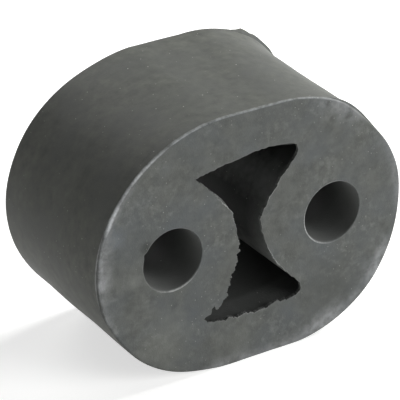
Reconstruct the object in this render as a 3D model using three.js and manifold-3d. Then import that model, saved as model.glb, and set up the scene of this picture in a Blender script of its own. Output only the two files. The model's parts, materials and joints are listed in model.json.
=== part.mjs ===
import * as THREE from "three";
import { mergeVertices } from "three/addons/utils/BufferGeometryUtils.js";
import Module from "manifold-3d";

const wasm = await Module();
wasm.setup();

// Exhaust hanger: one block of moulded black rubber with two bores and a middle void.
// Millimetres, +Z up. X runs from bore to bore, Y along the bores, and the front face looks along -Y.
// The origin is the middle of the flat underside.

// Driving sizes of the block
const hangerDepth = 34.2;
const flatLength = 10.8;
const rimRound = 0.4;

// Driving sizes of the bores and the void, and of the rubber round them
const boreDiameter = 12;
const boreWall = 7.8;
const waistGap = 6.4;
const endWall = 9.2;
const voidHeight = 33;
const bandHeight = 8.5;
const voidRoofRadius = 39;
const voidTipRadius = 0.9;

// Driving sizes of the moulding flash
const skinThickness = 1;
const finThickness = 0.6;
const flashRoot = 1.5;
const toothPitch = 0.9;
const toothDepth = 0.35;

// Steps of the golden ratio give teeth that never repeat
const goldenShare = 0.618;

// How fine the faceted surface is: the angle between points of a round edge, and the facets across a rounded rim
const arcStep = THREE.MathUtils.degToRad(5);
const rimFacets = 2;

// Points closer together than this are one point of the mesh
const mergeDistance = 1e-5;

// Sizes that follow from the ones above
const boreRadius = boreDiameter / 2;
const ribRadius = boreRadius + boreWall;
const halfSpacing = ribRadius + waistGap / 2;
const halfWidth = halfSpacing + boreRadius + endWall;
const halfHeight = voidHeight / 2 + bandHeight;
const halfFlat = flatLength / 2;
const frontY = -hangerDepth / 2;
const backY = hangerDepth / 2;
const cutLength = 2 * hangerDepth;

// Where torn skin is left on the front face: degrees round the edge, and how far it reaches into the void
const rightRibSkin = [
  [104, 3.5],
  [116, 3.6],
  [120, 2.5],
  [130, 1.9],
  [139, 2.2],
  [145, 1.7],
  [162, 2.1],
  [169, 2.3],
  [180, 1.5],
  [200, 0.6],
  [230, 0.5],
  [242, 1.1],
  [244, 2.1],
  [256, 2.1],
];
const leftRibSkin = [
  [-80, 3.3],
  [-68, 3.3],
  [-65, 1.8],
  [-59, 1.6],
  [-56, 0.9],
  [-54, 1.8],
  [-43, 1.7],
  [-38, 0.8],
  [-25, 0.6],
  [-14, 0.4],
  [-4, 0.1],
];
const floorSkin = [
  [254, 0.7],
  [262, 0.7],
  [270, 1.3],
  [278, 1.3],
  [284, 0.6],
];

// Where a fin of flash stands proud of the back rim: degrees round the end, and how far it stands out
const backFin = [
  [32, 0],
  [37, 1],
  [50, 1.2],
  [55, 0.7],
  [59, 1.1],
  [65, 0],
];

// Points along a round edge, without its last one, where the next edge starts
function roundEdge(ring, start, end) {
  const steps = Math.max(2, Math.ceil(Math.abs(end - start) / arcStep));
  const curve = new THREE.EllipseCurve(ring.x, ring.z, ring.radiusX, ring.radiusZ, start, end, end < start);
  return curve.getPoints(steps).slice(0, -1);
}

function circle(x, z, radius) {
  return { x, z, radiusX: radius, radiusZ: radius };
}

// The block's two ends are half ellipses, joined by the flats on top and underneath
const rightEnd = { x: halfFlat, z: 0, radiusX: halfWidth - halfFlat, radiusZ: halfHeight };
const leftEnd = { ...rightEnd, x: -halfFlat };

const rightBore = circle(halfSpacing, 0, boreRadius);
const leftBore = circle(-halfSpacing, 0, boreRadius);
const rightRib = circle(halfSpacing, 0, ribRadius);
const leftRib = circle(-halfSpacing, 0, ribRadius);
const voidRoof = circle(0, voidHeight / 2 - voidRoofRadius, voidRoofRadius);
const voidFloor = circle(0, -voidRoof.z, voidRoofRadius);

// The round tip at the upper right of the void touches the rib from outside and the roof from inside
function tipCentre() {
  const fromRib = ribRadius + voidTipRadius;
  const fromRoof = voidRoofRadius - voidTipRadius;
  const rib = new THREE.Vector2(rightRib.x, rightRib.z);
  const roof = new THREE.Vector2(voidRoof.x, voidRoof.z);
  const apart = rib.distanceTo(roof);
  const along = (fromRib ** 2 - fromRoof ** 2 + apart ** 2) / (2 * apart);
  const aside = Math.sqrt(fromRib ** 2 - along ** 2);
  const towardsRoof = roof.sub(rib).normalize();
  const upwards = new THREE.Vector2(towardsRoof.y, -towardsRoof.x);
  return rib.addScaledVector(towardsRoof, along).addScaledVector(upwards, aside);
}

function blockOutline() {
  const quarter = Math.PI / 2;
  return [
    ...roundEdge(rightEnd, -quarter, quarter),
    new THREE.Vector2(halfFlat, halfHeight),
    ...roundEdge(leftEnd, quarter, 3 * quarter),
    new THREE.Vector2(-halfFlat, -halfHeight),
  ];
}

function voidOutline() {
  const turn = 2 * Math.PI;
  const tip = tipCentre();
  const ribAngle = Math.atan2(tip.y - rightRib.z, tip.x - rightRib.x);
  const roofAngle = Math.atan2(tip.y - voidRoof.z, tip.x - voidRoof.x);
  return [
    ...roundEdge(rightRib, turn - ribAngle, ribAngle),
    ...roundEdge(circle(tip.x, tip.y, voidTipRadius), ribAngle - Math.PI, roofAngle),
    ...roundEdge(voidRoof, roofAngle, Math.PI - roofAngle),
    ...roundEdge(circle(-tip.x, tip.y, voidTipRadius), Math.PI - roofAngle, turn - ribAngle),
    ...roundEdge(leftRib, Math.PI - ribAngle, ribAngle - Math.PI),
    ...roundEdge(circle(-tip.x, -tip.y, voidTipRadius), ribAngle, Math.PI + roofAngle),
    ...roundEdge(voidFloor, Math.PI + roofAngle, turn - roofAngle),
    ...roundEdge(circle(tip.x, -tip.y, voidTipRadius), -roofAngle, Math.PI - ribAngle),
  ];
}

// A point at an angle round a ring, moved out from it, or in where the reach is negative
function ringPoint(ring, degrees, reach) {
  const angle = THREE.MathUtils.degToRad(degrees);
  return new THREE.Vector2(
    ring.x + (ring.radiusX + reach) * Math.cos(angle),
    ring.z + (ring.radiusZ + reach) * Math.sin(angle),
  );
}

// The outline of flash along a ring: a torn edge on one side, and its root inside the rubber on the other.
// The side is 1 where the flash reaches out of the ring and -1 where it reaches into it.
function flashOutline(ring, side, stations) {
  const tornEdge = [];
  const rootEdge = [];
  const addPair = (degrees, reach) => {
    const tooth = toothDepth * ((tornEdge.length * goldenShare) % 1);
    tornEdge.push(ringPoint(ring, degrees, side * (reach - tooth)));
    rootEdge.push(ringPoint(ring, degrees, -side * flashRoot));
  };
  for (let i = 1; i < stations.length; i += 1) {
    const [startAngle, startReach] = stations[i - 1];
    const [endAngle, endReach] = stations[i];
    const length = THREE.MathUtils.degToRad(endAngle - startAngle) * ring.radiusX;
    const steps = Math.max(1, Math.round(length / toothPitch));
    for (let step = 0; step < steps; step += 1) {
      const share = step / steps;
      addPair(THREE.MathUtils.lerp(startAngle, endAngle, share), THREE.MathUtils.lerp(startReach, endReach, share));
    }
  }
  addPair(...stations.at(-1));
  return [...tornEdge, ...rootEdge.reverse()];
}

// An outline in X and Z made solid from one Y to another, with its rims rounded if asked
function prism(outline, fromY, toY, round = 0) {
  const geometry = new THREE.ExtrudeGeometry(new THREE.Shape(outline), {
    depth: toY - fromY - 2 * round,
    bevelEnabled: round > 0,
    bevelThickness: round,
    bevelSize: round,
    bevelOffset: -round,
    bevelSegments: rimFacets,
  });
  geometry.rotateX(Math.PI / 2);
  geometry.translate(0, toY - round, halfHeight);
  geometry.deleteAttribute("normal");
  geometry.deleteAttribute("uv");
  const merged = mergeVertices(geometry, mergeDistance);
  const vertProperties = new Float32Array(merged.attributes.position.array);
  const triVerts = new Uint32Array(merged.index.array);
  return new wasm.Manifold(new wasm.Mesh({ numProp: 3, vertProperties, triVerts }));
}

function fullRing(ring) {
  return roundEdge(ring, 0, 2 * Math.PI);
}

// The void is cut right through, except where torn skin stays across its front
function voidCutter() {
  const skinFront = -cutLength;
  const skinBack = frontY + skinThickness;
  return prism(voidOutline(), -cutLength, cutLength)
    .subtract(prism(flashOutline(rightRib, 1, rightRibSkin), skinFront, skinBack))
    .subtract(prism(flashOutline(leftRib, 1, leftRibSkin), skinFront, skinBack))
    .subtract(prism(flashOutline(voidFloor, -1, floorSkin), skinFront, skinBack));
}

function rubberBlock() {
  const finBack = backY - rimRound;
  const finFront = finBack - finThickness;
  return prism(blockOutline(), frontY, backY, rimRound)
    .add(prism(flashOutline(rightEnd, 1, backFin), finFront, finBack))
    .subtract(voidCutter())
    .subtract(prism(fullRing(leftBore), -cutLength, cutLength))
    .subtract(prism(fullRing(rightBore), -cutLength, cutLength));
}

function toGeometry(block) {
  const mesh = block.getMesh();
  const geometry = new THREE.BufferGeometry();
  geometry.setAttribute("position", new THREE.BufferAttribute(mesh.vertProperties, mesh.numProp));
  geometry.setIndex(new THREE.BufferAttribute(mesh.triVerts, 1));
  geometry.computeVertexNormals();
  return geometry;
}

const blackRubber = new THREE.MeshStandardMaterial({ color: 0x585a58, roughness: 0.72, metalness: 0 });

const rubberBody = new THREE.Mesh(toGeometry(rubberBlock()), blackRubber);
rubberBody.name = "rubber_body";

const hanger = new THREE.Group();
hanger.add(rubberBody);

export default hanger;
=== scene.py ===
# %% [markdown]
# # A moulded rubber exhaust hanger
# This part is one oblong block of black rubber. A car's exhaust hangs from it: one rod goes through the left
# bore and is fixed to the car, the other goes through the right bore and is fixed to the pipe. The hourglass
# void between them lets the rubber flex. The lesson models the block from outlines that are pulled into
# walls, tears the skin at the void's front edge, and gives each kind of surface its own rubber finish.

# %% Load the frame
import json
import math

import bmesh
import bpy
from mathutils import Matrix, Vector, noise


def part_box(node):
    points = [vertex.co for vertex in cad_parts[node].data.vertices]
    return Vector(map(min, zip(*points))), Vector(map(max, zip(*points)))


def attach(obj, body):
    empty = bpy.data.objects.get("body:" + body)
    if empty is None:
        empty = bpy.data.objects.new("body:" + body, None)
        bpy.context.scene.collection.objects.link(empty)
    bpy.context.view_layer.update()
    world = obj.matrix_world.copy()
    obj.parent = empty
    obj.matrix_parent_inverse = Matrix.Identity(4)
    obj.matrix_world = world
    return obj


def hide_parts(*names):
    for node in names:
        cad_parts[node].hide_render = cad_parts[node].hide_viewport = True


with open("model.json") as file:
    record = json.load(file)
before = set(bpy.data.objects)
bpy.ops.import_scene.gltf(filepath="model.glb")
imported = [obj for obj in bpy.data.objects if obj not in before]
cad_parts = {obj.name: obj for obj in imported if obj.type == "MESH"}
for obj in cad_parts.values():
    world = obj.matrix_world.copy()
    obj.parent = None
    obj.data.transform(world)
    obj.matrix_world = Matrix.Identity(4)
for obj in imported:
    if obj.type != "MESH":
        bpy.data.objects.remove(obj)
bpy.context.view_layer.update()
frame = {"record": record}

mm = 0.001
body_low, body_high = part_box("rubber_body")
print("the block measures", [round(side / mm, 2) for side in body_high - body_low], "mm")

# %% [markdown]
# ## Sizes
# Everything is in metres, in the frame of the solid model: X runs from bore to bore, Y along the bores, and
# Z up from the flat underside. The outer sizes and the bore centres are read from that model, so nothing can
# drift. The sizes of the ribs and of the void repeat the moulded ones, because the model's box doesn't hold
# them.

# %% Sizes of the moulded form
front, back = body_low.y, body_high.y
half_width, half_height = body_high.x, body_high.z / 2
half_flat = 5.4 * mm
end_length = half_width - half_flat
rim_round = 0.4 * mm
bore_radius = 6 * mm
bore_wall = 7.8 * mm
rib_radius = bore_radius + bore_wall
roof_radius = 39 * mm
roof_height = 16.5 * mm
tip_radius = 0.9 * mm

openings = {opening["name"]: opening["box_m"] for opening in frame["record"]["physics"]["openings"]}
bore_low, bore_high = openings["right_bore"]
bore_x = (bore_low[0] + bore_high[0]) / 2
print("the bores are", round(2 * bore_x / mm, 2), "mm apart")

# %% [markdown]
# ## The camera
# The photograph looks down on the front face from the left. A long lens far away keeps the edges nearly
# parallel, as product photographs have them. The camera could be placed by its coordinates. An aim point, a
# turn round it and a distance are easier to match to a photograph, because each of them changes one thing.

# %% Camera
azimuth, elevation, roll = math.radians(-31.89), math.radians(27.0), math.radians(-0.43)
distance = 436.8 * mm
aim = Vector((-0.55 * mm, 0.28 * mm, half_height - 0.1 * mm))

# Millimetres, as Blender keeps these two
sensor_width = 36
lens_length = 213.4

turn = Matrix.Rotation(azimuth, 4, "Z") @ Matrix.Rotation(math.pi / 2 - elevation, 4, "X")
backwards = turn @ Vector((0, 0, 1))
bpy.ops.object.camera_add(
    location=aim + backwards * distance,
    rotation=(turn @ Matrix.Rotation(roll, 4, "Z")).to_euler(),
)
camera = bpy.context.object
camera.data.sensor_width = sensor_width
camera.data.lens = lens_length
bpy.context.scene.camera = camera
print("the camera stands at", [round(place / mm) for place in camera.location], "mm")

# %% [markdown]
# ## Drawing with a few helpers
# Work in edit mode goes in the same small steps each time: pick vertices by their place, then extrude, resize
# or move them. The helpers below are those steps. A vertex's place is enough to know it by, because the block
# is built from outlines that stand exactly where they were drawn.

# %% Helpers for edit mode
same_place = 0.002 * mm
near_place = 5 * same_place


def deselect_all():
    if bpy.context.object and bpy.context.object.mode == "EDIT":
        bpy.ops.object.mode_set(mode="OBJECT")
    bpy.ops.object.select_all(action="DESELECT")


def edit(piece):
    deselect_all()
    piece.select_set(True)
    bpy.context.view_layer.objects.active = piece
    bpy.ops.object.mode_set(mode="EDIT")
    bpy.ops.mesh.select_mode(type="VERT")


def pick(wanted):
    """Selects the vertices whose place passes the test, and the edges and faces between them."""
    edited = bmesh.from_edit_mesh(bpy.context.object.data)
    for vertex in edited.verts:
        vertex.select = wanted(vertex.co)
    edited.select_flush(False)
    edited.select_flush(True)
    bmesh.update_edit_mesh(bpy.context.object.data)


def pull_back(places):
    """Extrudes what is picked along Y, with a ring at each place."""
    for here, there in zip(places, places[1:]):
        bpy.ops.mesh.extrude_region_move(TRANSFORM_OT_translate={"value": (0, there - here, 0)})


def rings_between(front_rings, back_rings, gap):
    """The Y of a wall's rings: given in millimetres from the front and from the back, and filled between."""
    first = [front + ring * mm for ring in front_rings]
    last = [back - ring * mm for ring in back_rings]
    span = last[0] - first[-1]
    count = round(span / gap)
    middle = [first[-1] + span * step / count for step in range(1, count)]
    return first + middle + last


# %% [markdown]
# ## The outer wall
# The section is a circle stretched into an ellipse, cut in half and drawn apart, so that short flats join the
# two ends. A box with rounded corners would be too square, and a plain ellipse would have nothing to stand
# on. The outline is pulled back ring by ring. The rings lie close together at both rims, where the mould left
# its marks, and a little over a millimetre apart between them.

# %% Outer wall
rim_points = 360
flat_cuts = 11
rim_steps = 4

# The points beside the flats lie less than this beyond them
beside_flat = 0.5 * mm

# Millimetres from the front and from the back, and the gap between the rings in the middle
wall_rings = rings_between(
    [0.4, 0.45, 0.5, 0.6, 0.75, 0.8, 0.9, 1.0, 1.15, 1.4, 1.8, 2.4],
    [2.1, 1.6, 1.3, 1.12, 1.05, 0.85, 0.62, 0.52, 0.46, 0.4],
    1.2 * mm,
)

# The rings of each face, in millimetres from the rounded rim inwards
face_rings = [0.1, 0.2, 0.35, 0.5, 0.7, 0.9, 1.2, 1.6, 2.1, 2.7, 3.4]
face_inset = rim_round + face_rings[-1] * mm

# How far in from the outline and how far out along Y each ring of the rim and of the face lies
round_angles = [math.pi / 2 * step / rim_steps for step in range(1, rim_steps + 1)]
rim_profile = [
    (rim_round * (1 - math.cos(angle)), rim_round * math.sin(angle)) for angle in round_angles
]
rim_profile += [(rim_round + ring * mm, rim_round) for ring in face_rings]


def outline_level(place, inset=0):
    """1 on the outer outline drawn in by the inset, less inside it and more outside it."""
    along_x = max(0, abs(place.x) * half_width / (half_width - inset) - half_flat)
    along_z = (place.z - half_height) / (half_height - inset)
    return math.hypot(along_x / end_length, along_z)


def finish_rim(side):
    """Rounds the open rim, then goes on across the face. The side is -1 in front and 1 at the back."""
    middle = Vector((0, 0, half_height))
    inset = depth = 0
    for next_inset, next_depth in rim_profile:
        outwards = (0, side * (next_depth - depth), 0)
        bpy.ops.mesh.extrude_region_move(TRANSFORM_OT_translate={"value": outwards})
        shrink_x = (half_width - next_inset) / (half_width - inset)
        shrink_z = (half_height - next_inset) / (half_height - inset)
        bpy.ops.transform.resize(value=(shrink_x, 1, shrink_z), center_override=middle)
        inset, depth = next_inset, next_depth


def make_outer_wall():
    deselect_all()
    bpy.ops.mesh.primitive_circle_add(vertices=rim_points, radius=1, rotation=(math.pi / 2, 0, 0))
    wall = bpy.context.object
    wall.name = "rubber_block"
    bpy.ops.object.transform_apply(location=True, rotation=True, scale=True)
    edit(wall)
    bpy.ops.mesh.select_all(action="SELECT")
    bpy.ops.transform.resize(value=(end_length, 1, half_height), center_override=(0, 0, 0))
    bpy.ops.transform.translate(value=(0, wall_rings[0], half_height))
    for side in (-1, 1):
        pick(lambda place: side * place.x > same_place)
        bpy.ops.transform.translate(value=(side * half_flat, 0, 0))
    pick(lambda place: abs(place.x) < half_flat + beside_flat)
    bpy.ops.mesh.subdivide(number_cuts=flat_cuts)
    bpy.ops.mesh.select_all(action="SELECT")
    pull_back(wall_rings)
    finish_rim(1)
    pick(lambda place: abs(place.y - wall_rings[0]) < same_place)
    finish_rim(-1)
    bpy.ops.object.mode_set(mode="OBJECT")
    print("outer wall:", len(wall.data.vertices), "vertices")
    return wall


block = make_outer_wall()

# %% [markdown]
# ## The bores
# Each bore takes one rod. It could be cut with a boolean, but a circle that is pulled straight through keeps
# its points in tidy rings, which the marks and the finish make use of. Its edges stay sharp for now, and get
# a small bevel at the very end.

# %% Bores
bore_points = 128
hole_rings = rings_between([0, 0.4, 0.65, 1.0, 1.5, 2.5], [1.5, 0.6, 0], 1.8 * mm)


def make_bore(name, x):
    deselect_all()
    bpy.ops.mesh.primitive_circle_add(
        vertices=bore_points, radius=bore_radius, rotation=(math.pi / 2, 0, 0)
    )
    bore = bpy.context.object
    bore.name = name
    bpy.ops.object.transform_apply(location=True, rotation=True, scale=True)
    edit(bore)
    bpy.ops.mesh.select_all(action="SELECT")
    bpy.ops.transform.translate(value=(x, front, half_height))
    pull_back(hole_rings)
    bpy.ops.object.mode_set(mode="OBJECT")
    return bore


bores = [make_bore("left_bore", -bore_x), make_bore("right_bore", bore_x)]
print("bores:", [bore.name for bore in bores])

# %% [markdown]
# ## The void
# The hourglass is eight arcs: a rib on each side, concentric with its bore, an arched roof and floor, and a
# small round tip in each corner. A curve object could hold them, but spinning one point round each arc's
# centre in turn draws them like a pair of compasses, and each arc starts where the last one stopped. The
# tip's centre is where two circles cross: one round the rib and one inside the roof.

# %% Void outline
void_point_gap = 0.17 * mm
least_spin_steps = 6

# The walk starts at the right waist, so a height away from the middle counts this much more than a width
height_weight = 100


def crossing(centre_a, radius_a, centre_b, radius_b):
    """The upper left point where two circles in the XZ plane cross."""
    towards = centre_b - centre_a
    apart = towards.length
    along_line = (radius_a**2 - radius_b**2 + apart**2) / (2 * apart)
    aside = math.sqrt(radius_a**2 - along_line**2)
    towards.normalize()
    return centre_a + towards * along_line + Vector((towards.z, 0, -towards.x)) * aside


rib_centre = Vector((bore_x, 0, 0))
roof_centre = Vector((0, 0, roof_height - roof_radius))
tip_centre = crossing(rib_centre, rib_radius + tip_radius, roof_centre, roof_radius - tip_radius)
from_rib = tip_centre - rib_centre
from_roof = tip_centre - roof_centre
rib_angle = math.atan2(from_rib.z, from_rib.x)
roof_angle = math.atan2(from_roof.z, from_roof.x)


def mirrored(place, side_x, side_z):
    """A place round the middle of the void, mirrored where a side is -1."""
    return Vector((side_x * place.x, 0, side_z * place.z))


def spin_round(centre, angle, radius):
    """Spins the picked point round a centre, anticlockwise as seen from the front."""
    steps = max(least_spin_steps, round(abs(angle) * radius / void_point_gap))
    middle = (centre.x, front, centre.z + half_height)
    bpy.ops.mesh.spin(steps=steps, angle=angle, center=middle, axis=(0, 1, 0))


def walk_round(edited):
    """The places of a closed loop's vertices in order, anticlockwise from the right waist."""
    start = max(
        edited.verts, key=lambda vertex: vertex.co.x - height_weight * abs(vertex.co.z - half_height)
    )
    neighbours = [edge.other_vert(start) for edge in start.link_edges]
    before, here = start, max(neighbours, key=lambda end: end.co.z)
    places = [start.co.copy()]
    while here is not start:
        places.append(here.co.copy())
        ends = [edge.other_vert(here) for edge in here.link_edges]
        before, here = here, ends[1] if ends[0] is before else ends[0]
    return places


def make_void():
    """Draws the outline from the right waist anticlockwise, arc by arc, then pulls it back."""
    deselect_all()
    bpy.ops.mesh.primitive_plane_add(size=mm)
    void = bpy.context.object
    void.name = "void"
    edit(void)
    bpy.ops.mesh.select_all(action="SELECT")
    bpy.ops.mesh.merge(type="CENTER")
    bpy.ops.transform.translate(value=(bore_x - rib_radius, front, half_height))
    rib_turn = rib_angle - math.pi
    tip_turn = roof_angle - rib_angle + math.pi
    roof_turn = math.pi - 2 * roof_angle
    for side in (1, -1):
        spin_round(mirrored(rib_centre, side, side), rib_turn, rib_radius)
        spin_round(mirrored(tip_centre, side, side), tip_turn, tip_radius)
        spin_round(mirrored(roof_centre, side, side), roof_turn, roof_radius)
        spin_round(mirrored(tip_centre, -side, side), tip_turn, tip_radius)
        spin_round(mirrored(rib_centre, -side, side), rib_turn, rib_radius)
    bpy.ops.mesh.select_all(action="SELECT")
    bpy.ops.mesh.remove_doubles(threshold=near_place)
    outline = walk_round(bmesh.from_edit_mesh(void.data))
    bpy.ops.mesh.select_all(action="SELECT")
    pull_back(hole_rings)
    bpy.ops.object.mode_set(mode="OBJECT")
    return void, outline


void, void_outline = make_void()
print("void outline:", len(void_outline), "points")

# %% [markdown]
# ## Closing the faces
# The wall, the bores and the void are joined into one mesh. A polygon can't have a hole in it, and filling
# with triangles would leave long slivers in a face that has to look flat. So four edges along the middle
# height link the loops, the face falls into an upper and a lower half, and each half closes with one polygon.

# %% Faces

# How far outline_level may be off for a point that lies on the outline
on_outline = 0.0005


def link(low_x, high_x, y):
    """Joins two points at the middle height with an edge."""
    ends = [Vector((x, y, half_height)) for x in (low_x, high_x)]
    pick(lambda place: min((place - end).length for end in ends) < near_place)
    bpy.ops.mesh.edge_face_add()


def close_face(y):
    """Links the loops of the face at this Y and closes its two halves."""
    rim = half_width - face_inset
    waist = bore_x - rib_radius
    link(-rim, -bore_x - bore_radius, y)
    link(-bore_x + bore_radius, -waist, y)
    link(waist, bore_x - bore_radius, y)
    link(bore_x + bore_radius, rim, y)
    for side in (-1, 1):
        pick(
            lambda place: abs(place.y - y) < same_place
            and side * (place.z - half_height) > -same_place
            and outline_level(place, face_inset) < 1 + on_outline
        )
        bpy.ops.mesh.edge_face_add()
    print("face at", round(y / mm, 2), "mm closed")


deselect_all()
for piece in (*bores, void, block):
    piece.select_set(True)
bpy.context.view_layer.objects.active = block
bpy.ops.object.join()
edit(block)
close_face(front)
close_face(back)
bpy.ops.object.mode_set(mode="OBJECT")

# %% [markdown]
# ## The torn skin
# When the two halves of the mould close on rubber, a thin skin of it is left across the opening. It was torn
# away here, so a ragged edge stays at the front of the void, widest at the upper right and the lower left.
# Noise alone would give any tear but not this one, so the tear is drawn stretch by stretch, as points in
# millimetres from the middle of the void.

# %% The tear as drawn
right_tear = [
    (10.2, -14.1), (10.3, -13.4), (10.0, -12.5), (9.4, -11.7), (8.4, -10.9), (4.7, -6.7), (3.2, -3.8),
    (2.1, -0.8), (1.7, 0.5), (1.6, 1.5), (1.2, 3.0), (1.8, 4.3), (2.7, 5.5), (3.2, 6.8), (4.1, 7.8),
    (4.7, 8.4), (5.5, 10.0), (6.7, 11.2), (7.9, 12.5), (9.0, 13.8), (9.3, 14.8),
]
roof_tear = [
    (9.3, 14.8), (9.0, 15.8), (7.9, 16.4), (4.9, 16.8), (1.6, 16.8), (-1.0, 16.6), (-3.1, 16.1),
    (-6.8, 15.7), (-8.7, 15.3), (-10.1, 15.1), (-12.4, 14.5),
]
upper_left_tear = [
    (-12.4, 14.5), (-11.7, 13.8), (-10.9, 13.3), (-9.5, 11.8), (-7.9, 10.1), (-6.2, 8.0),
    (-5.3, 7.0), (-4.6, 6.0), (-4.3, 4.8), (-4.0, 3.3), (-3.6, 1.2), (-3.4, 0.2),
]
lower_left_tear = [
    (-3.4, 0.2), (-3.0, -0.5), (-3.4, -1.0), (-3.2, -1.9), (-3.5, -3.1), (-4.1, -5.7), (-4.6, -6.6),
    (-5.1, -7.5), (-5.0, -8.2), (-5.6, -9.3), (-5.9, -9.9), (-5.8, -10.8), (-6.7, -11.5),
    (-7.4, -12.1), (-8.1, -12.6), (-8.8, -12.1), (-9.2, -12.7), (-9.9, -13.4), (-10.7, -14.0),
]
floor_tear = [
    (-10.7, -14.0), (-9.4, -14.8), (-7.7, -15.1), (-6.1, -15.6), (-5.4, -15.0), (-4.5, -15.5),
    (-3.0, -15.6), (-1.7, -15.1), (-0.9, -15.6), (0.9, -15.7), (2.6, -15.6), (3.9, -15.2), (5.0, -14.9),
    (6.4, -15.3), (7.5, -15.2), (8.6, -14.9), (9.5, -14.5), (10.2, -14.1),
]
tears = (right_tear, roof_tear, upper_left_tear, lower_left_tear, floor_tear)
print("the tear has", sum(len(tear) for tear in tears), "drawn points")

# %% [markdown]
# ## Moving the edge to the tear
# Every point of the clean outline moves to the point of the tear that lies at the same share of the way, and
# noise adds only the small teeth. The tear could be cut through the skin with a knife as well, but that would
# leave its points out of line with the clean wall behind them.

# %% Torn edge
skin_depth = 0.9 * mm
tear_wander = 0.9 * mm
tear_tooth = 0.35 * mm

# Noise folded at zero has sharp creases, and they are the teeth. They are this much taller than the wander
# of the edge, which is lifted by this much to stay where it was drawn
tooth_height = 1.5
tooth_lift = 0.3

# How far ahead along a tear, as a share of it, its direction is taken
look_ahead = 0.001

# Points whose places round to the same multiples of this lie behind each other
key_step = 0.005 * mm


def tip(side_x, side_z):
    """The point of a corner's round tip at which one stretch of the outline ends and the next one starts."""
    return mirrored(tip_centre + tip_radius * from_roof.normalized(), side_x, side_z)


def nearest(outline, place):
    """The number of the outline's point that is nearest to a place."""
    return min(range(len(outline)), key=lambda index: (outline[index] - place).length)


def between(outline, start, end):
    """The points of a closed outline from the one nearest the start to the one nearest the end."""
    first, last = nearest(outline, start), nearest(outline, end)
    if last < first:
        last += len(outline)
    return [outline[index % len(outline)] for index in range(first, last + 1)]


def along(points, share):
    """The point at a share of the way along a line of points."""
    steps = [(there - here).length for here, there in zip(points, points[1:])]
    left = share * sum(steps)
    for here, there, step in zip(points, points[1:], steps):
        if left <= step:
            return here.lerp(there, left / step)
        left -= step
    return points[-1]


def ragged(place, onward, amount):
    """Moves a point across the tear, by a slow wander with pointed teeth on it."""
    across = Vector((onward.z, 0, -onward.x)).normalized()
    tooth = tooth_lift - tooth_height * abs(noise.noise(place / tear_tooth))
    return place - across * amount * (noise.noise(place / tear_wander) + tooth)


def place_key(place):
    """What the points that lie behind each other have in common."""
    return round(place.x / key_step), round(place.z / key_step)


def tear_map(outline):
    """Where each point of the clean outline goes at the torn front."""
    middle = Vector((0, front, half_height))
    left_waist = Vector((rib_radius - bore_x, 0, 0))
    stretches = [
        (tip(1, -1), tip(1, 1), right_tear, 0.18 * mm),
        (tip(1, 1), tip(-1, 1), roof_tear, 0.15 * mm),
        (tip(-1, 1), left_waist, upper_left_tear, 0.25 * mm),
        (left_waist, tip(-1, -1), lower_left_tear, 0.55 * mm),
        (tip(-1, -1), tip(1, -1), floor_tear, 0.35 * mm),
    ]
    torn = {}
    for start, end, tear, raggedness in stretches:
        clean = between(outline, start + middle, end + middle)
        points = [middle + Vector((x, 0, z)) * mm for x, z in tear]
        lengths = [(there - here).length for here, there in zip(clean, clean[1:])]
        gone = 0
        for here, length in zip(clean, lengths + [0]):
            share = min(1 - look_ahead, gone / sum(lengths))
            place = along(points, share)
            onward = along(points, share + look_ahead) - place
            from_end = min(gone, sum(lengths) - gone)
            calm = min(1, from_end / tear_wander)
            torn[place_key(here)] = ragged(place, onward, raggedness * calm)
            gone += length
    return torn


def tear_void():
    torn = tear_map(void_outline)
    edit(block)
    edited = bmesh.from_edit_mesh(block.data)
    moved = 0
    for vertex in edited.verts:
        place = torn.get(place_key(vertex.co))
        if place is not None and vertex.co.y < front + skin_depth:
            vertex.co.x = place.x
            vertex.co.z = place.z
            moved += 1
    bmesh.update_edit_mesh(block.data)
    bpy.ops.object.mode_set(mode="OBJECT")
    print("torn skin:", moved, "points moved")


tear_void()

# %% [markdown]
# ## Marks of the mould and of wear
# No moulding is as true as its drawing. This one is swollen at the upper back and at the lower right, and
# drawn in at the upper right in front. It has a ragged fin of flash on its back rim, a thin lip on its front
# rim, a nick in the left bore, and a front rim that was rubbed rounder at the upper left. A sculpting brush
# could make all of these, but a list gives each mark its real size. A mark's place is an angle round the
# block in degrees, anticlockwise from the right, and it fades out over its reach, in degrees too.

# %% Sizes of the marks

# Angle, reach, and how far the wall stands out in front and at the back, in millimetres
swellings = [
    (72, 44, 0.0, 1.2),
    (33, 28, -0.4, 0.0),
    (46, 22, -0.4, -0.25),
    (-52, 52, 1.0, 0.2),
    (-122, 28, 0.45, 0.1),
]
wave_size, wave_height = 9 * mm, 0.12 * mm

# Angle, reach and height in millimetres, on the rings between these two distances from the front
lips = [(180, 30, 0.35), (52, 20, 0.4)]
lip_start, lip_end = 0.48 * mm, 0.77 * mm

# The fin's edge is an angle and a height in millimetres, and its section a distance from the back in
# millimetres and a share of that height
fin_stations = [
    (34, 0), (38, 0.35), (44, 0.6), (50, 0.5), (55, 0.6), (57, 0.45), (59, 0.6), (62, 0.75), (64, 0.3),
    (67, 0),
]
fin_profile = [(0.42, 0), (0.5, 1), (0.8, 0.9), (1.06, -0.2), (1.2, -0.2), (1.4, 0)]

# Angle, reach and height in millimetres of the bulge that carries the fin, and how far it runs forwards
bulge_angle, bulge_reach, bulge_height = 51, 24, 0.6
bulge_length = 4 * mm

# Angle and reach of the rubbed corner, and the millimetres that its radius gains
rubbed_angle, rubbed_reach, rubbed_gain = 146, 40, 0.3
corner_depth = 2 * mm

# The nick's angle is taken round the bore
nick_angle, nick_reach = 156, 7
nick_depth, nick_length = 0.3 * mm, 0.6 * mm
print("marks:", len(swellings), "swellings,", len(lips), "lips, a fin, a rubbed corner and a nick")

# %% [markdown]
# ## Moving the points by the marks
# Each point of the wall moves outwards by the sum of all marks at its angle and depth. Proportional editing
# does the same by hand, one mark at a time. The formula does it in one pass, and a number that is changed
# above changes the shape.

# %% Marks of the mould and of wear


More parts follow.
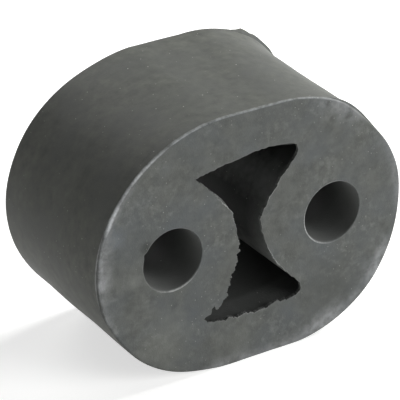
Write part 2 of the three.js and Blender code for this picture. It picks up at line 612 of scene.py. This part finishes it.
def degrees_round(place):
    """The angle of a place round the outer outline, anticlockwise from the right."""
    along_x = max(0, abs(place.x) - half_flat) / end_length
    along_z = (place.z - half_height) / half_height
    return math.degrees(math.atan2(along_z, math.copysign(along_x, place.x)))


def bump(angle, middle, reach):
    """1 at the middle angle, falling smoothly to 0 at the reach."""
    away = abs((angle - middle + 180) % 360 - 180) / reach
    return math.cos(math.pi / 2 * away) ** 2 if away < 1 else 0


def between_stations(stations, here):
    """The value at a place along a row of stations, each a place and its value, and 0 beyond both ends."""
    for (low, low_value), (high, high_value) in zip(stations, stations[1:]):
        if low <= here <= high:
            return low_value + (high_value - low_value) * (here - low) / (high - low)
    return 0


def rim_inset(place):
    """How far in from the outline a point of the rim was drawn."""
    insets = [0] + [inset for inset, depth in rim_profile]
    return min(insets, key=lambda inset: abs(outline_level(place, inset) - 1))


def rub_rim(place, angle):
    """Pushes a point near the front corner back to a rounder corner, as rubbing does."""
    radius = rim_round + rubbed_gain * bump(angle, rubbed_angle, rubbed_reach) * mm
    inset, depth = rim_inset(place), place.y - front
    if inset < radius and depth < radius:
        from_centre = Vector((inset - radius, depth - radius)).normalized() * radius
        new_inset, new_depth = radius + from_centre.x, radius + from_centre.y
        place.x *= (half_width - new_inset) / (half_width - inset)
        place.z = half_height + (place.z - half_height) * (half_height - new_inset) / (half_height - inset)
        place.y = front + new_depth


def wall_offset(place, angle):
    """How far the marks push a point of the wall outwards."""
    from_front, from_back = place.y - front, back - place.y
    share_back = from_front / (back - front)
    offset = sum(
        (at_front + (at_back - at_front) * share_back) * bump(angle, middle, reach)
        for middle, reach, at_front, at_back in swellings
    )
    if lip_start < from_front < lip_end:
        offset += sum(height * bump(angle, middle, reach) for middle, reach, height in lips)
    bulge_share = math.exp(-(from_back / bulge_length) ** 2)
    offset += bulge_height * bump(angle, bulge_angle, bulge_reach) * bulge_share
    offset += between_stations(fin_stations, angle) * between_stations(fin_profile, from_back / mm)
    return offset * mm + wave_height * noise.noise(place / wave_size)


def mark_wall(place):
    angle = degrees_round(place)
    turn_round = math.radians(angle)
    outwards = Vector((math.cos(turn_round) / end_length, 0, math.sin(turn_round) / half_height))
    if place.y < front + corner_depth:
        rub_rim(place, angle)
    place += outwards.normalized() * wall_offset(place, angle)
    place.z = max(0, place.z)


def nick_bore(place):
    from_bore = Vector((place.x + bore_x, 0, place.z - half_height))
    if from_bore.length < bore_radius + same_place and place.y < front + nick_length:
        angle = math.degrees(math.atan2(from_bore.z, from_bore.x))
        place += from_bore.normalized() * nick_depth * bump(angle, nick_angle, nick_reach)


def mark_block():
    edit(block)
    edited = bmesh.from_edit_mesh(block.data)
    on_wall = 0
    for vertex in edited.verts:
        if outline_level(vertex.co, face_inset) > 1 - on_outline:
            mark_wall(vertex.co)
            on_wall += 1
        else:
            nick_bore(vertex.co)
    bmesh.update_edit_mesh(block.data)
    bpy.ops.object.mode_set(mode="OBJECT")
    print("marks:", on_wall, "points of the wall and the rims moved")


mark_block()

# %% [markdown]
# ## Colours and nodes
# A finish is a small network of shader nodes, which could also be drawn by hand in the shader editor. Here
# one short recipe serves five finishes, so it is written out. One function turns an sRGB colour into the
# linear one that Blender calculates with, and one adds a node with its settings and its links.

# %% Colours and nodes


def linear(hex_colour):
    """The linear colour of an sRGB hex code such as 4a4c4a, by the formula of the sRGB standard."""
    channels = [int(hex_colour[place:place + 2], 16) / 255 for place in (0, 2, 4)]
    lit = [value / 12.92 if value <= 0.04045 else ((value + 0.055) / 1.055) ** 2.4 for value in channels]
    return lit + [1]


def new_material(name):
    material = bpy.data.materials.new(name)
    material.use_nodes = True
    material.node_tree.nodes.clear()
    return material, material.node_tree


def add(tree, kind, inputs=None, **settings):
    """Adds a shader node, and sets or links its inputs."""
    node = tree.nodes.new("ShaderNode" + kind)
    for name, value in settings.items():
        setattr(node, name, value)
    for name, value in (inputs or {}).items():
        if isinstance(value, bpy.types.NodeSocket):
            tree.links.new(value, node.inputs[name])
        else:
            node.inputs[name].default_value = value
    return node


def all_of(tree, share, *others):
    """Shares multiplied by each other, so that the result is strong only where every one of them is."""
    for other in others:
        share = add(tree, "Math", {0: share, 1: other}, operation="MULTIPLY").outputs["Value"]
    return share


# %% [markdown]
# ## Patterns
# Rubber is never one even grey. It has soft mottling, specks of dust in loose clusters, spots, and a pale
# line on its sharp edges that is partly wear and partly painted highlight. The same patterns also paint shade
# and light into the holes. A painted image could carry all of that, but it would have to be unwrapped and
# would blur up close. Patterns in real millimetres need neither. Each of these gives a share from 0 to 1,
# which says how strongly its colour shows at a place.

# %% Patterns
dust_cluster = 5 * mm
spot_blur = 1.5 * mm


def noise_share(tree, place, size, low, high, detail=4):
    """Soft patches of a size in metres, with the noise from low to high spread over the whole range."""
    pattern = add(tree, "TexNoise", {"Vector": place, "Scale": 1 / size, "Detail": detail, "Roughness": 0.6})
    return add(
        tree, "MapRange", {"Value": pattern.outputs["Fac"], "From Min": low, "From Max": high}
    ).outputs["Result"]


def dust_share(tree, place, spacing, radius, kept):
    """Scattered specks of dust in loose clusters, each as strong as chance makes it, and 0 between them."""
    cells = add(tree, "TexVoronoi", {"Vector": place, "Scale": 1 / spacing}).outputs
    edge, core = radius / spacing, 0.4 * radius / spacing
    near = add(
        tree, "MapRange", {"Value": cells["Distance"], "From Min": edge, "From Max": core}
    ).outputs["Result"]
    chance = add(tree, "SeparateColor", {"Color": cells["Color"]}).outputs
    crowd = all_of(tree, noise_share(tree, place, dust_cluster, low=0.4, high=0.7, detail=2), kept)
    chosen = add(tree, "Math", {0: chance["Red"], 1: crowd}, operation="LESS_THAN").outputs["Value"]
    return all_of(tree, near, chosen, chance["Green"], chance["Green"])


def edge_share(tree, reach):
    """1 on a sharp edge, where a rounded normal leaves the true one, and 0 beyond the reach."""
    rounded = add(tree, "Bevel", {"Radius": reach}, samples=8).outputs["Normal"]
    surface = add(tree, "NewGeometry").outputs["Normal"]
    facing = add(tree, "VectorMath", {0: rounded, 1: surface}, operation="DOT_PRODUCT").outputs["Value"]
    return add(tree, "MapRange", {"Value": facing, "From Min": 0.99, "From Max": 0.8}).outputs["Result"]


def spot_share(tree, place, x, z, reach):
    """1 at a spot seen from the front, given in millimetres from the middle, with a soft uneven edge."""
    middle = Vector((x * mm, 0, z * mm + half_height))
    flat = add(tree, "VectorMath", {0: place, 1: Vector((1, 0, 1))}, operation="MULTIPLY").outputs["Vector"]
    away = add(tree, "VectorMath", {0: flat, 1: middle}, operation="DISTANCE").outputs["Value"]
    uneven = add(tree, "TexNoise", {"Vector": place, "Scale": 1 / spot_blur, "Detail": 3}).outputs["Fac"]
    blurred = add(tree, "Math", {0: uneven, 1: reach * mm, 2: away}, operation="MULTIPLY_ADD")

    # The noise averages a half, so the spot is whole in its middle and gone at its reach
    gone, whole = 1.5 * reach * mm, 0.5 * reach * mm
    spot = {"Value": blurred.outputs["Value"], "From Min": gone, "From Max": whole}
    return add(tree, "MapRange", spot).outputs["Result"]


def painted_shade_share(tree, place, reach, floor_painted_shade):
    """Painted shade: how much blacker the rubber is drawn, nearly all of it beyond the reach into a hole, and
    a share on faces that look upwards.
    """
    inside = add(tree, "SeparateXYZ", {"Vector": place}).outputs["Y"]
    depth = add(
        tree, "MapRange", {"Value": inside, "From Min": front, "From Max": front + reach, "To Max": 0.95}
    ).outputs["Result"]
    surface = add(tree, "NewGeometry").outputs["Normal"]
    upwards = add(tree, "SeparateXYZ", {"Vector": surface}).outputs["Z"]
    level = add(
        tree, "MapRange", {"Value": upwards, "From Min": 0.3, "From Max": 0.9, "To Max": floor_painted_shade}
    ).outputs["Result"]
    return add(tree, "Math", {0: depth, 1: level}, operation="MAXIMUM").outputs["Value"]


# %% [markdown]
# ## Wear
# Where a rim was rubbed, the skin of the rubber is broken and pale. A chalky bloom lies on the face beside
# it, the edges of the holes carry a pale line that is partly wear and partly painted highlight, and fine
# scuffs cover the face. How strong the first three are at a place is stored on the points of the mesh as
# rim_wear, bloom and edge_wear_and_highlight, further down. Noise could place them too, but wear is no
# accident: it follows the rims. Here noise only breaks it up.

# %% Wear in the finish


def worn_share(tree, place):
    """How far the skin is broken: whole where the wear is strong, and in flecks where it is weak."""
    wear = add(tree, "Attribute", attribute_name="rim_wear").outputs["Fac"]
    flecked = all_of(tree, wear, noise_share(tree, place, 1.2 * mm, low=0.15, high=0.7, detail=5))
    return add(tree, "MapRange", {"Value": flecked, "From Min": 0.1, "From Max": 0.8}).outputs["Result"]


def bloom_share(tree, place):
    """The soft chalky bloom that lies in patches along the rim of the front face."""
    strength = add(tree, "Attribute", attribute_name="bloom").outputs["Fac"]
    return all_of(tree, strength, noise_share(tree, place, 2 * mm, low=0.25, high=0.65))


def edge_wear_highlight_share(tree, place, whole):
    """The broken pale line on the edge of a hole, partly wear and partly painted highlight. A bevelled edge
    carries it as a whole.
    """
    strength = add(tree, "Attribute", attribute_name="edge_wear_and_highlight").outputs["Fac"]
    if not whole:
        strength = all_of(tree, edge_share(tree, 0.4 * mm), strength)
    return all_of(tree, strength, noise_share(tree, place, 0.8 * mm, low=0.2, high=0.6))


def scuff_share(tree, place):
    """Fine pale scuffs, thicker in some patches than in others."""
    fine = noise_share(tree, place, 1.1 * mm, low=0.48, high=0.72, detail=6)
    return all_of(tree, fine, noise_share(tree, place, 7 * mm, low=0.4, high=0.7))


# %% [markdown]
# ## One recipe for the rubber
# Black rubber looks dark grey in soft light, because its slightly rough skin throws back a little of
# everything. One Principled shader gives it that sheen, and a fine bump gives it the grain of the mould. The
# colour is laid on in layers, like coats of paint: mottling first, then painted shade deep in the holes, then
# spots, then wear, and dust on top of all. Mixing separate shaders would do as well, but wear changes only
# the colour here.

# %% Recipe
# The first colour is painted shade, the black that a hole's walls turn to deep inside; the others are real
# marks
painted_shade_black, scuff_grey, bloom_grey = "303230", "9a9c98", "9c9ea0"
edge_wear_highlight_grey, broken_skin, dust_grey = "bec0be", "d6dadc", "c4c4bc"
cool_patch = 9 * mm

# Real grain and most real specks are finer than this, and are drawn as coarse as they need to show
grain_size = 0.3 * mm
speck_spacing, speck_radius = 0.7 * mm, 0.13 * mm

# A Mix node has sockets for each kind of value. These are the numbers of its share and its three colours
mix_share, mix_under, mix_over, mix_result = 0, 6, 7, 2


def rubber(name, colours, roughness, shine, mottle_size, grain_depth, dust, spots=(), scuffed=0, lip=False,
           painted_shade_reach=0, floor_painted_shade=0):
    """Rubber mottled between two colours, cooler in broad patches, pale where worn, and a little dusty, with
    painted shade deep in a hole where asked.
    """
    material, tree = new_material(name)
    place = add(tree, "TexCoord").outputs["Object"]
    dark, pale, cool = colours
    layers = [
        (noise_share(tree, place, mottle_size, low=0.25, high=0.75), pale),
        (noise_share(tree, place, cool_patch, low=0.4, high=0.8, detail=2), cool),
    ]
    # Painted shade: blacker the deeper into a hole, and on its floor
    if painted_shade_reach:
        layers.append((painted_shade_share(tree, place, painted_shade_reach, floor_painted_shade), painted_shade_black))
    # Spots as given: marks on the face, and painted light on the walls of the void
    for x, z, reach, spot_colour, strength in spots:
        layers.append((all_of(tree, spot_share(tree, place, x, z, reach), strength), spot_colour))
    layers += [
        (all_of(tree, scuff_share(tree, place), scuffed), scuff_grey),
        (bloom_share(tree, place), bloom_grey),
        (edge_wear_highlight_share(tree, place, lip), edge_wear_highlight_grey),
        (worn_share(tree, place), broken_skin),
        (dust_share(tree, place, speck_spacing, speck_radius, dust), dust_grey),
    ]
    colour = linear(dark)
    for share, layer in layers:
        mix = add(
            tree, "Mix", {mix_share: share, mix_under: colour, mix_over: linear(layer)}, data_type="RGBA"
        )
        colour = mix.outputs[mix_result]
    grain = add(tree, "TexNoise", {"Vector": place, "Scale": 1 / grain_size, "Detail": 2}).outputs["Fac"]
    surface = add(tree, "Bump", {"Height": grain, "Distance": grain_depth}).outputs["Normal"]
    shader = add(
        tree,
        "BsdfPrincipled",
        {"Base Color": colour, "Roughness": roughness, "Specular IOR Level": shine, "Normal": surface},
    )
    add(tree, "OutputMaterial", {"Surface": shader.outputs["BSDF"]})
    return material


# How much light the painted shade deep in a hole still throws back
painted_shade_level = linear(painted_shade_black)[1]
print("deep in a hole the rubber throws back", round(100 * painted_shade_level, 1), "percent of the light")

# %% [markdown]
# ## Five finishes of one rubber
# The real part is one piece of one rubber, so one material could cover it, but it would look dead. The side
# walls are satin, the faces are dull, mottled and marked, and the walls of the holes were never rubbed. These
# are painted paler at the mouth as painted light, and blacker the further in as painted shade. Each of these
# surfaces gets the recipe with its own numbers.

# %% Five finishes

# Spots on the face: X, Z and reach in millimetres from the middle, then colour and strength. The last four
# are
# broad: darker at the lower right and the top, lighter at the lower left and the bottom
face_spots = [
    (-28.4, 7.6, 2.5, "747b84", 0.4),
    (-25.2, -2.1, 2.0, "7e807c", 0.6),
    (-22.4, 3.8, 1.6, "262826", 0.9),
    (17.0, -15.0, 8.0, "4b4d4a", 0.8),
    (5.0, 20.5, 7.0, "525452", 0.6),
    (-19.0, -16.0, 8.0, "70726d", 0.7),
    (-3.0, -21.5, 7.0, "70726d", 0.3),
]

# Painted light on the walls of the void, as pale spots, in the same columns
void_painted_light = [(5.0, 8.0, 5.0, "9c9e9c", 0.6), (5.5, -9.0, 6.0, "8a8c8a", 0.5)]

# Rubber released from a smooth mould wall: an even dark satin with a weak, wide highlight
side_rubber = rubber(
    "moulded_rubber_satin",
    colours=("484a46", "64665f", "565855"),
    roughness=0.55,
    shine=0.18,
    mottle_size=2 * mm,
    grain_depth=0.02 * mm,
    dust=0.5,
)

# Rubber of the open faces, moulded coarser and then handled: dull, mottled, spotted and scuffed
face_rubber = rubber(
    "moulded_rubber_dull",
    colours=("4b4d4a", "636562", "565a5c"),
    roughness=0.75,
    shine=0.3,
    mottle_size=2 * mm,
    grain_depth=0.05 * mm,
    dust=0.4,
    spots=face_spots,
    scuffed=0.3,
)

# Rubber moulded round a polished core: smoother, with painted light that makes it lighter at the mouth, and
# painted shade that makes it black further in
bore_rubber = rubber(
    "moulded_rubber_polished_painted_light_and_shade",
    colours=("787a78", "888a88", "7e807e"),
    roughness=0.5,
    shine=0.3,
    mottle_size=3 * mm,
    grain_depth=0.03 * mm,
    dust=0.1,
    painted_shade_reach=15 * mm,
)

# Rubber that nothing touches: dull and lightly dusty, with painted light that makes it pale at the mouth, and
# painted shade that makes it black soon after and dark on its floor
void_rubber = rubber(
    "moulded_rubber_unworn_painted_light_and_shade",
    colours=("6c6e6c", "868886", "787a78"),
    roughness=0.7,
    shine=0.3,
    mottle_size=mm,
    grain_depth=0.05 * mm,
    dust=0.3,
    spots=void_painted_light,
    painted_shade_reach=8 * mm,
    floor_painted_shade=0.8,
)

# Rubber on the narrow bevels of the holes: as dark as the face, with a broken pale line on it that is partly
# wear and partly painted highlight
edge_rubber = rubber(
    "moulded_rubber_edge_wear_and_painted_highlight",
    colours=("484a47", "5c5e5a", "4e5254"),
    roughness=0.6,
    shine=0.3,
    mottle_size=mm,
    grain_depth=0.03 * mm,
    dust=0,
    lip=True,
)
finishes = [side_rubber, face_rubber, bore_rubber, void_rubber, edge_rubber]
print("finishes:", [finish.name for finish in finishes])

# %% [markdown]
# ## Storing the wear
# Wear could be painted on with a brush. Here it is worked out from a list of marks and stored on the points
# of the mesh, where the finishes read it: wear and bloom on the front rim, and on the edges of the holes a
# pale line that is partly wear and partly painted highlight.

# %% Stored wear

# Angle and reach in degrees, then strength and width on the face in millimetres
rim_wear = [
    (152, 10, 1.3, 0.3), (135, 22, 0.95, 0.2), (112, 26, 0.5, 0.12), (80, 36, 0.38, 0.1),
    (166, 14, 0.4, 0.15), (181, 15, 0.35, 0.15), (197, 14, 0.3, 0.1),
]
rim_bloom = [
    (-33, 16, 0.8, 1.8), (-50, 12, 0.4, 1.2), (-68, 16, 0.9, 2.0), (-88, 18, 0.6, 1.4), (58, 18, 0.6, 2.2),
    (12, 24, 0.5, 1.2), (176, 18, 1.0, 1.8), (200, 14, 0.4, 0.8), (150, 20, 0.5, 1.0),
]
wall_wear_reach = 0.3 * mm

# X, Z and reach in millimetres from the middle of the face, then strength
edge_wear_highlight_marks = [
    (-16.1, -5.8, 5, 0.6), (11.2, -1.2, 6, 0.8), (13.9, -5.1, 4, 0.4), (14.6, 5.2, 4, 0.4),
    (-6.0, 7.3, 4.5, 0.9), (4.2, 7.6, 5, 0.6), (4.3, -6.6, 5, 0.8), (-1.9, -15.9, 6, 0.4),
]
least_edge_wear_highlight = 0.1

# Points beyond this share of the outline belong to the rim, and all others to the holes
rim_level = 0.8


def rim_wear_at(place, marks):
    """Strong on the corner of the front rim, fading over the face and faster down the wall."""
    inset = max(0, (1 - outline_level(place)) * half_height - rim_round / 2)
    depth = max(0, place.y - front - rim_round / 2)
    angle = degrees_round(place)
    down_wall = math.exp(-(depth / wall_wear_reach) ** 2)
    return down_wall * max(
        strength * math.sqrt(bump(angle, middle, reach)) * math.exp(-(inset / (width * mm)) ** 2)
        for middle, reach, strength, width in marks
    )


def edge_wear_highlight_at(place):
    marks = sum(
        strength * max(0, 1 - math.hypot(place.x / mm - x, (place.z - half_height) / mm - z) / reach)
        for x, z, reach, strength in edge_wear_highlight_marks
    )
    return min(1, least_edge_wear_highlight + marks)


def store_wear():
    rim, bloom, lip = (
        block.data.attributes.new(name, "FLOAT", "POINT") for name in ("rim_wear", "bloom", "edge_wear_and_highlight")
    )
    for vertex in block.data.vertices:
        if vertex.co.y < front + corner_depth:
            if outline_level(vertex.co) > rim_level:
                rim.data[vertex.index].value = rim_wear_at(vertex.co, rim_wear)
                bloom.data[vertex.index].value = rim_wear_at(vertex.co, rim_bloom)
            else:
                lip.data[vertex.index].value = edge_wear_highlight_at(vertex.co)
    print("wear:", sum(value.value > 0 for value in rim.data), "points of the rim")


edit(block)
bpy.ops.mesh.select_all(action="SELECT")
bpy.ops.mesh.remove_doubles(threshold=same_place)
bpy.ops.mesh.select_all(action="SELECT")
bpy.ops.mesh.normals_make_consistent(inside=False)
bpy.ops.object.mode_set(mode="OBJECT")
store_wear()

# %% [markdown]
# ## Finishes, edges and shading
# The flat faces, the bores, the void and the outer wall get their own rubber. Real rubber has no perfectly
# sharp moulded edge, so a bevel of a quarter of a millimetre runs round the bores, and round the void at the
# back. The torn edge at the front stays sharp. A bevel modifier would round that one too, so the edges are
# picked one by one. Weighted normals then keep the big flat faces flat beside their rounded rims.

# %% Finishes, edges and shading
edge_bevel = 0.25 * mm
beside_bore = 0.6 * mm
smooth_angle = math.radians(50)

# A face whose normal has more than this along Y belongs to the front or the back
facing_share = 0.7

# Along Y, the normals of the two faces at a hole's edge lie on either side of this
edge_split = 0.5

# A wall inside this share of the outline is the wall of a hole
hole_level = 0.93


def in_bore(place):
    """Whether a place is inside a bore or just beside it."""
    return math.hypot(abs(place.x) - bore_x, place.z - half_height) < bore_radius + beside_bore


def give_finishes():
    for finish in finishes:
        block.data.materials.append(finish)
    for face in block.data.polygons:
        if abs(face.normal.y) > facing_share:
            face.material_index = finishes.index(face_rubber)
        elif outline_level(face.center) < hole_level:
            hole_rubber = bore_rubber if in_bore(face.center) else void_rubber
            face.material_index = finishes.index(hole_rubber)


def pick_hole_edges():
    """Selects the edges of the holes in both faces, but not the torn one, which stays sharp."""
    edited = bmesh.from_edit_mesh(block.data)
    edited.normal_update()
    bpy.ops.mesh.select_all(action="DESELECT")
    picked = 0
    for edge in edited.edges:
        middle = (edge.verts[0].co + edge.verts[1].co) / 2
        at_back = abs(middle.y - back) < same_place
        at_front = abs(middle.y - front) < same_place and in_bore(middle)
        if (at_back or at_front) and len(edge.link_faces) == 2:
            turns = sorted(abs(face.normal.y) for face in edge.link_faces)
            edge.select_set(turns[0] < edge_split < turns[1])
            picked += edge.select
    bmesh.update_edit_mesh(block.data)
    print("bevel:", picked, "edges of the holes")


give_finishes()
edit(block)
bpy.ops.mesh.select_mode(type="EDGE")
pick_hole_edges()
bpy.ops.mesh.bevel(
    offset=edge_bevel, segments=2, clamp_overlap=True, material=finishes.index(edge_rubber)
)
bpy.ops.object.mode_set(mode="OBJECT")
bpy.ops.object.shade_smooth_by_angle(angle=smooth_angle)
bpy.ops.object.modifier_add(type="WEIGHTED_NORMAL")
weighted_normals = block.modifiers[-1]
weighted_normals.keep_sharp = True
bpy.ops.object.modifier_apply(modifier=weighted_normals.name)
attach(block, "root")
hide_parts("rubber_body")
print("block:", len(block.data.vertices), "vertices,", len(block.data.polygons), "faces")

# %% [markdown]
# ## Light
# One softbox hangs low in front at the right, a stronger one higher up at the right, and a weak one behind
# the block, which lights the top of its wall. Nothing lights the left end directly, so it falls off into
# shadow. Sunlight would be simpler, but it would draw hard shadows that the photograph doesn't have.

# %% Light
lamp_distance = 0.9
lamp_size = 0.5


def softbox(name, degrees_right, degrees_up, power):
    """A square lamp that faces the block, placed by its angles to the right of the front and upwards."""
    right, up = math.radians(degrees_right), math.radians(degrees_up)
    towards = Vector((math.sin(right) * math.cos(up), -math.cos(right) * math.cos(up), math.sin(up)))
    deselect_all()
    bpy.ops.object.light_add(
        type="AREA",
        location=aim + towards * lamp_distance,
        rotation=towards.to_track_quat("Z", "Y").to_euler(),
    )
    lamp = bpy.context.object
    lamp.name = name
    lamp.data.size = lamp_size
    lamp.data.energy = power
    print(name, "gives", power, "watts")


softbox("front_softbox", degrees_right=30, degrees_up=20, power=5.6)
softbox("right_softbox", degrees_right=100, degrees_up=40, power=7.6)
softbox("back_softbox", degrees_right=180, degrees_up=30, power=2.1)

# %% [markdown]
# ## Floor and backdrop
# The block stands on white paper in front of white. Both could be lit until they turn white, but that light
# would also fall on the block. So the floor and the world glow white only for the camera and for what shiny
# or clear things pass on, and the floor keeps the block's soft shadow.

# %% Floor and backdrop
floor_size = 4
floor_glow = 0.65
world_light = 0.02


def backdrop_rays(tree):
    """1 for the camera's own rays and for those that a shiny or clear thing passes on, and 0 otherwise."""
    paths = add(tree, "LightPath").outputs
    passed_on = add(
        tree, "Math", {0: paths["Is Glossy Ray"], 1: paths["Is Transmission Ray"]}, operation="MAXIMUM"
    ).outputs["Value"]
    return add(tree, "Math", {0: paths["Is Camera Ray"], 1: passed_on}, operation="MAXIMUM").outputs["Value"]


def white_paper():
    """Matt white paper, with a glow of its own that lifts it to white around the shadow."""
    material, tree = new_material("white_paper")
    paper = add(tree, "BsdfDiffuse", {"Color": linear("f2f2f0")}).outputs["BSDF"]
    strength = all_of(tree, backdrop_rays(tree), floor_glow)
    glow = add(tree, "Emission", {"Strength": strength}).outputs["Emission"]
    both = add(tree, "AddShader", {0: paper, 1: glow}).outputs["Shader"]
    add(tree, "OutputMaterial", {"Surface": both})
    return material


def lay_floor():
    deselect_all()
    bpy.ops.mesh.primitive_plane_add(size=floor_size)
    floor = bpy.context.object
    floor.name = "floor"
    floor.data.materials.append(white_paper())
    print("floor:", floor_size, "metres square, glowing at", floor_glow)


def light_world():
    world = bpy.data.worlds.new("studio")
    bpy.context.scene.world = world
    world.use_nodes = True
    tree = world.node_tree
    tree.nodes.clear()
    strength = add(
        tree, "MapRange", {"Value": backdrop_rays(tree), "To Min": world_light, "To Max": 1}
    ).outputs["Result"]
    sky = add(tree, "Background", {"Color": linear("ffffff"), "Strength": strength}).outputs["Background"]
    add(tree, "OutputWorld", {"Surface": sky})


lay_floor()
light_world()
bpy.context.scene.view_settings.view_transform = "Standard"
